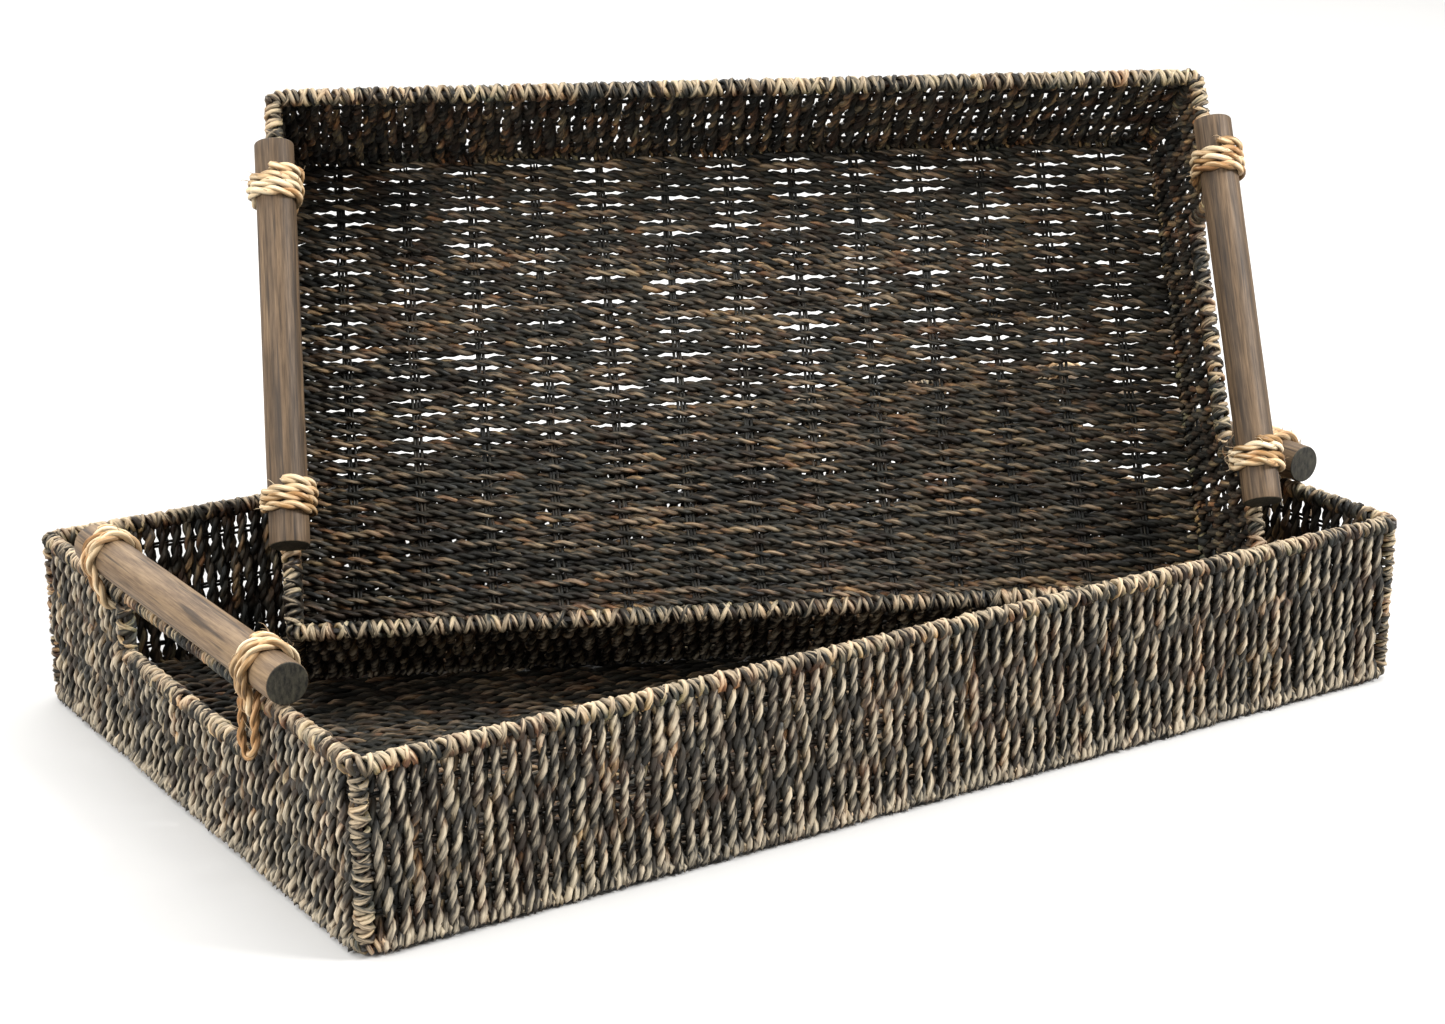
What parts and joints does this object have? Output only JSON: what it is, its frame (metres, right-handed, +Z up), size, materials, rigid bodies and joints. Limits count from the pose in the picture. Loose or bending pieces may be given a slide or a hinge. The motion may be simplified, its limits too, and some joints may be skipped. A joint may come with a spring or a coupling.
{
  "type": "nesting seagrass tray set",
  "caption": "Rectangular woven seagrass trays on wire frames with lashed dowel handles; the smaller stands on edge inside the larger, leaning on its rim.",
  "frame": {"origin": "middle of the underside of the large tray's base", "axes": "+X along the large tray's length, +Y towards its back wall, which the small tray leans on, +Z up"},
  "size_m": [0.644, 0.444, 0.3071],
  "materials": {
    "wall_cord": "two-ply seagrass cord, black-brown wash, worn light on the high spots",
    "base_cord": "two-ply seagrass cord, black-brown wash",
    "binding_cord": "two-ply seagrass cord bound round wire, wash worn to tan",
    "frame_wire": "bare drawn steel wire, welded",
    "dowel_wood": "turned dowel with a grey-brown stain, matt",
    "lashing_rope": "natural two-ply seagrass rope, undyed"
  },
  "bodies": {
    "large_tray": {"large_wire_frame": "frame_wire", "large_base_weave": "base_cord", "large_front_wall_weave": "wall_cord", "large_front_rim_binding": "binding_cord", "large_front_bottom_binding": "binding_cord", "large_back_wall_weave": "wall_cord", "large_back_rim_binding": "binding_cord", "large_back_bottom_binding": "binding_cord", "large_left_end_weave": "wall_cord", "large_left_rim_binding": "binding_cord", "large_left_bottom_binding": "binding_cord", "large_left_handle_rail": "binding_cord", "large_front_left_corner_binding": "binding_cord", "large_back_left_corner_binding": "binding_cord", "large_left_handle_dowel": "dowel_wood", "large_left_front_lashing": "lashing_rope", "large_left_back_lashing": "lashing_rope", "large_right_end_weave": "wall_cord", "large_right_rim_binding": "binding_cord", "large_right_bottom_binding": "binding_cord", "large_right_handle_rail": "binding_cord", "large_front_right_corner_binding": "binding_cord", "large_back_right_corner_binding": "binding_cord", "large_right_handle_dowel": "dowel_wood", "large_right_front_lashing": "lashing_rope", "large_right_back_lashing": "lashing_rope"},
    "small_tray": {"small_wire_frame": "frame_wire", "small_base_weave": "base_cord", "small_front_wall_weave": "wall_cord", "small_front_rim_binding": "binding_cord", "small_front_bottom_binding": "binding_cord", "small_back_wall_weave": "wall_cord", "small_back_rim_binding": "binding_cord", "small_back_bottom_binding": "binding_cord", "small_left_end_weave": "wall_cord", "small_left_rim_binding": "binding_cord", "small_left_bottom_binding": "binding_cord", "small_left_handle_rail": "binding_cord", "small_front_left_corner_binding": "binding_cord", "small_back_left_corner_binding": "binding_cord", "small_left_handle_dowel": "dowel_wood", "small_left_front_lashing": "lashing_rope", "small_left_back_lashing": "lashing_rope", "small_right_end_weave": "wall_cord", "small_right_rim_binding": "binding_cord", "small_right_bottom_binding": "binding_cord", "small_right_handle_rail": "binding_cord", "small_front_right_corner_binding": "binding_cord", "small_back_right_corner_binding": "binding_cord", "small_right_handle_dowel": "dowel_wood", "small_right_front_lashing": "lashing_rope", "small_right_back_lashing": "lashing_rope"}
  },
  "joints": [
    {"name": "small_tray_lift", "type": "slide", "parent": "large_tray", "child": "small_tray", "axis": [0, 0, 1], "range_m": [0, 0.4]}
  ]
}
